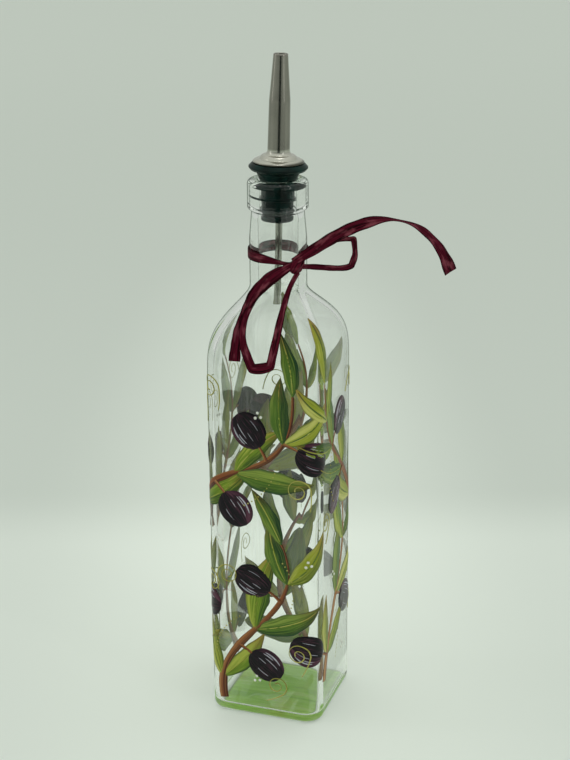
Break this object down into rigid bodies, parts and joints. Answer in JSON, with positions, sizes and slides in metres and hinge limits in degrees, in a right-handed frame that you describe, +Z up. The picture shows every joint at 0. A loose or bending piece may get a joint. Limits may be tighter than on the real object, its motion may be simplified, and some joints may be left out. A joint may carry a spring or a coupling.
{
  "type": "olive oil bottle",
  "caption": "Square clear-glass oil bottle with painted olive sprigs, a green painted underside, a finned stopper with a steel pourer spout, and a raffia bow round its neck.",
  "frame": {"origin": "centre of the base, on the surface that the bottle stands on", "axes": "+Z up along the bottle's axis, -Y out of the face that is seen most squarely, +X to the right of it"},
  "size_m": [0.109, 0.0625, 0.3169],
  "materials": {
    "glass": "clear, smooth",
    "stopper_plastic": "dark green-black, semi-gloss",
    "spout_steel": "drawn stainless sheet",
    "tube_steel": "drawn stainless tube",
    "raffia": "dyed dried raffia, low sheen"
  },
  "bodies": {
    "root": {"bottle_glass": "glass", "stopper": "stopper_plastic", "spout": "spout_steel", "breather_tube": "tube_steel", "raffia_band": "raffia", "raffia_knot": "raffia", "raffia_loop_left": "raffia", "raffia_loop_right": "raffia", "raffia_tail_left": "raffia", "raffia_tail_right": "raffia"}
  },
  "joints": []
}
